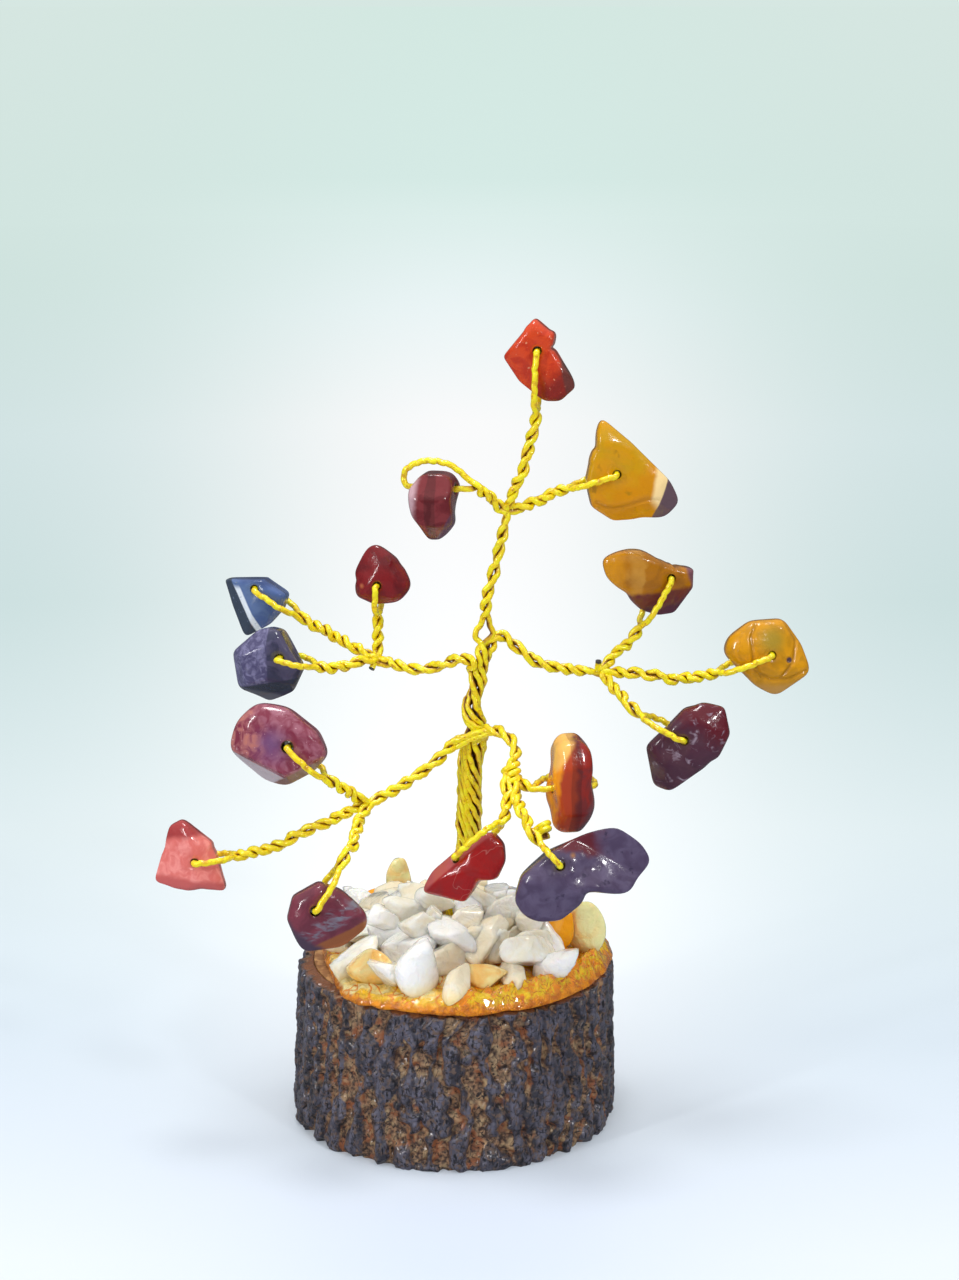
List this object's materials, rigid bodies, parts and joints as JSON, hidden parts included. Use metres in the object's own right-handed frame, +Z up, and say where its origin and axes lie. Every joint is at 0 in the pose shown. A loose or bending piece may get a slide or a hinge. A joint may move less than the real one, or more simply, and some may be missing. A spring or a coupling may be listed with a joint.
{
  "type": "gemstone tree ornament",
  "caption": "Small wire tree with bored gem chips on twisted stems, standing in quartz chips on a round slice of log with its bark.",
  "frame": {"origin": "middle of the log slice's sawn underside", "axes": "+Z up along the trunk, -Y to the ornament's front, +X to the right as seen from the front"},
  "size_m": [0.0839, 0.044, 0.1052],
  "materials": {
    "log_wood": "sawn and varnished",
    "bark": "varnished bark",
    "amber_glue": "clear amber glue",
    "clear_quartz": "tumbled quartz",
    "citrine": "tumbled citrine",
    "brass_wire": "bright drawn wire",
    "red_top_stone": "polished orange-red jasper",
    "mustard_fin_stone": "polished mustard jasper",
    "wine_hanging_stone": "polished wine red jasper",
    "wine_heart_stone": "polished dark wine jasper",
    "blue_blade_stone": "polished steel blue jasper",
    "violet_block_stone": "polished violet jasper",
    "amber_boot_stone": "polished amber and plum jasper",
    "honey_stone": "polished honey jasper",
    "plum_disc_stone": "polished plum jasper",
    "rose_stone": "polished rose jasper",
    "coral_stone": "polished coral jasper",
    "plum_pear_stone": "polished plum and slate jasper",
    "crimson_wedge_stone": "polished crimson jasper",
    "grape_long_stone": "polished grape and grey jasper",
    "sunset_bar_stone": "polished golden and maroon jasper"
  },
  "bodies": {
    "tree": {"log_core": "log_wood", "log_bark": "bark", "glue_bed": "amber_glue", "quartz_rim_chips": "clear_quartz", "quartz_middle_chips": "clear_quartz", "quartz_crest_chips": "clear_quartz", "citrine_chips": "citrine", "trunk_wires_top": "brass_wire", "branch_top": "brass_wire", "trunk_wires_left": "brass_wire", "branch_left": "brass_wire", "trunk_wires_right": "brass_wire", "branch_right": "brass_wire", "trunk_wires_low_left": "brass_wire", "branch_low_left": "brass_wire", "trunk_wires_low_right": "brass_wire", "branch_low_right": "brass_wire", "red_top_stem": "brass_wire", "mustard_fin_stem": "brass_wire", "wine_hanging_stem": "brass_wire", "wine_heart_stem": "brass_wire", "blue_blade_stem": "brass_wire", "violet_block_stem": "brass_wire", "amber_boot_stem": "brass_wire", "honey_stem": "brass_wire", "plum_disc_stem": "brass_wire", "rose_stem": "brass_wire", "coral_stem": "brass_wire", "plum_pear_stem": "brass_wire", "crimson_wedge_stem": "brass_wire", "grape_long_stem": "brass_wire", "sunset_bar_stem": "brass_wire"},
    "red_top_chip": {"red_top_chip": "red_top_stone"},
    "mustard_fin_chip": {"mustard_fin_chip": "mustard_fin_stone"},
    "wine_hanging_chip": {"wine_hanging_chip": "wine_hanging_stone"},
    "wine_heart_chip": {"wine_heart_chip": "wine_heart_stone"},
    "blue_blade_chip": {"blue_blade_chip": "blue_blade_stone"},
    "violet_block_chip": {"violet_block_chip": "violet_block_stone"},
    "amber_boot_chip": {"amber_boot_chip": "amber_boot_stone"},
    "honey_chip": {"honey_chip": "honey_stone"},
    "plum_disc_chip": {"plum_disc_chip": "plum_disc_stone"},
    "rose_chip": {"rose_chip": "rose_stone"},
    "coral_chip": {"coral_chip": "coral_stone"},
    "plum_pear_chip": {"plum_pear_chip": "plum_pear_stone"},
    "crimson_wedge_chip": {"crimson_wedge_chip": "crimson_wedge_stone"},
    "grape_long_chip": {"grape_long_chip": "grape_long_stone"},
    "sunset_bar_chip": {"sunset_bar_chip": "sunset_bar_stone"}
  },
  "joints": [
    {"name": "red_top_swing", "type": "hinge", "parent": "tree", "child": "red_top_chip", "pos_m": [0.01041, 0, 0.10114], "axis": [-0.1388, -0.9879, 0.0698], "range_deg": [-25, 25]},
    {"name": "mustard_fin_swing", "type": "hinge", "parent": "tree", "child": "mustard_fin_chip", "pos_m": [0.02025, 0.00303, 0.08501], "axis": [0.1043, -0.9921, 0.0698], "range_deg": [-30, 30]},
    {"name": "wine_hanging_swing", "type": "hinge", "parent": "tree", "child": "wine_hanging_chip", "pos_m": [-0.00271, -0.00197, 0.084], "axis": [0.9848, -0.1736, 0], "range_deg": [-40, 40]},
    {"name": "wine_heart_swing", "type": "hinge", "parent": "tree", "child": "wine_heart_chip", "pos_m": [-0.00992, 0.00599, 0.06989], "axis": [-0.1732, -0.9824, 0.0698], "range_deg": [-35, 35]},
    {"name": "blue_blade_swing", "type": "hinge", "parent": "tree", "child": "blue_blade_chip", "pos_m": [-0.02591, 0.00804, 0.06896], "axis": [-0.2074, -0.9758, 0.0698], "range_deg": [-35, 35]},
    {"name": "violet_block_swing", "type": "hinge", "parent": "tree", "child": "violet_block_chip", "pos_m": [-0.02222, 0, 0.06166], "axis": [-0.2406, -0.965, 0.1045], "range_deg": [-30, 30]},
    {"name": "amber_boot_swing", "type": "hinge", "parent": "tree", "child": "amber_boot_chip", "pos_m": [0.02747, 0.00599, 0.0709], "axis": [0.1388, -0.9879, 0.0698], "range_deg": [-30, 30]},
    {"name": "honey_swing", "type": "hinge", "parent": "tree", "child": "honey_chip", "pos_m": [0.0401, 0, 0.06216], "axis": [0.0867, -0.9907, 0.1045], "range_deg": [-30, 30]},
    {"name": "plum_disc_swing", "type": "hinge", "parent": "tree", "child": "plum_disc_chip", "pos_m": [0.02927, -0.005, 0.05225], "axis": [-0.1727, -0.9794, 0.1045], "range_deg": [-30, 30]},
    {"name": "rose_swing", "type": "hinge", "parent": "tree", "child": "rose_chip", "pos_m": [-0.02066, -0.01, 0.05284], "axis": [-0.1378, -0.9806, 0.1392], "range_deg": [-25, 25]},
    {"name": "coral_swing", "type": "hinge", "parent": "tree", "child": "coral_chip", "pos_m": [-0.03272, -0.01, 0.03763], "axis": [-0.1035, -0.9848, 0.1392], "range_deg": [-30, 30]},
    {"name": "plum_pear_swing", "type": "hinge", "parent": "tree", "child": "plum_pear_chip", "pos_m": [-0.01747, -0.01902, 0.03444], "axis": [0.1378, -0.9806, 0.1392], "range_deg": [-35, 35]},
    {"name": "crimson_wedge_swing", "type": "hinge", "parent": "tree", "child": "crimson_wedge_chip", "pos_m": [0.00057, -0.01501, 0.03956], "axis": [-0.3288, -0.9033, 0.2756], "range_deg": [-30, 30]},
    {"name": "grape_long_swing", "type": "hinge", "parent": "tree", "child": "grape_long_chip", "pos_m": [0.01263, -0.02001, 0.04066], "axis": [0.1029, -0.9794, 0.1736], "range_deg": [-20, 20]},
    {"name": "sunset_bar_swing", "type": "hinge", "parent": "tree", "child": "sunset_bar_chip", "pos_m": [0.01435, -0.01197, 0.0478], "axis": [-0.9848, -0.1736, 0], "range_deg": [-20, 20]}
  ]
}
